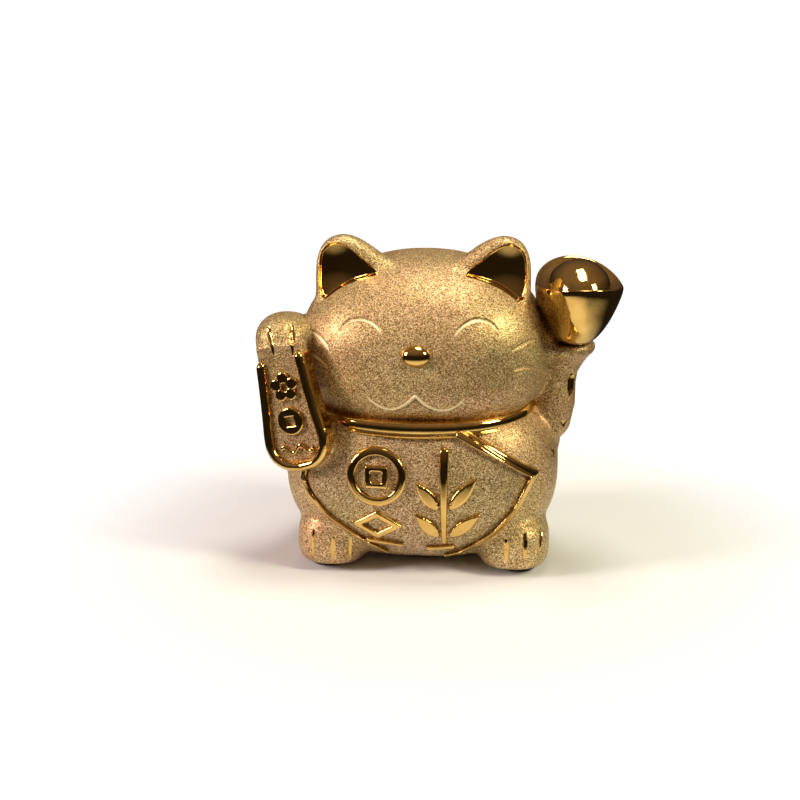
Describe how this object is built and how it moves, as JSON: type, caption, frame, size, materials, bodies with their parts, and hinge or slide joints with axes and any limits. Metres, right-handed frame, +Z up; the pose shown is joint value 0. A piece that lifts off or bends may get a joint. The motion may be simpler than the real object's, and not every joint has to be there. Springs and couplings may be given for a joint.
{
  "type": "beckoning cat coin bank",
  "caption": "Gilded ceramic cat figure, hollow, one paw holding a tablet and the other an ingot, with a coin slot in the head and a rubber bung in the base.",
  "frame": {"origin": "middle of the footprint of the whole figure, on the surface that its feet stand on", "axes": "+Z up, -Y the way the cat faces, +X to the cat's left, the side of the ingot"},
  "size_m": [0.165, 0.1014, 0.1515],
  "materials": {
    "frosted_gold": "rough",
    "bright_gold": "polished",
    "black_rubber": "matte"
  },
  "bodies": {
    "figure": {"belly_bar_left": "bright_gold", "belly_bar_right": "bright_gold", "belly_border_left": "bright_gold", "belly_border_right": "bright_gold", "belly_coin_eye": "bright_gold", "belly_coin_rim": "bright_gold", "belly_leaf_1": "bright_gold", "belly_leaf_2": "bright_gold", "belly_leaf_3": "bright_gold", "belly_leaf_4": "bright_gold", "belly_lozenge": "bright_gold", "belly_stem": "bright_gold", "body_shell": "frosted_gold", "collar": "bright_gold", "front_left_pad": "black_rubber", "front_right_pad": "black_rubber", "head_shell": "frosted_gold", "ingot": "bright_gold", "left_arm": "frosted_gold", "left_arm_patch_lower": "bright_gold", "left_arm_patch_upper": "bright_gold", "left_ear": "frosted_gold", "left_ear_lining": "bright_gold", "left_flank_patch": "bright_gold", "left_hind_paw": "frosted_gold", "nose": "bright_gold", "plaque": "frosted_gold", "plaque_blossom": "bright_gold", "plaque_coin": "bright_gold", "plaque_rim": "bright_gold", "plaque_wave": "bright_gold", "rear_left_pad": "black_rubber", "rear_right_pad": "black_rubber", "right_arm": "frosted_gold", "right_ear": "frosted_gold", "right_ear_lining": "bright_gold", "right_hind_paw": "frosted_gold", "tail": "frosted_gold"},
    "stopper": {"bung": "black_rubber"}
  },
  "joints": [
    {"name": "bung_pull", "type": "slide", "parent": "figure", "child": "stopper", "axis": [0, 0, -1], "range_m": [0, 0.02]}
  ]
}
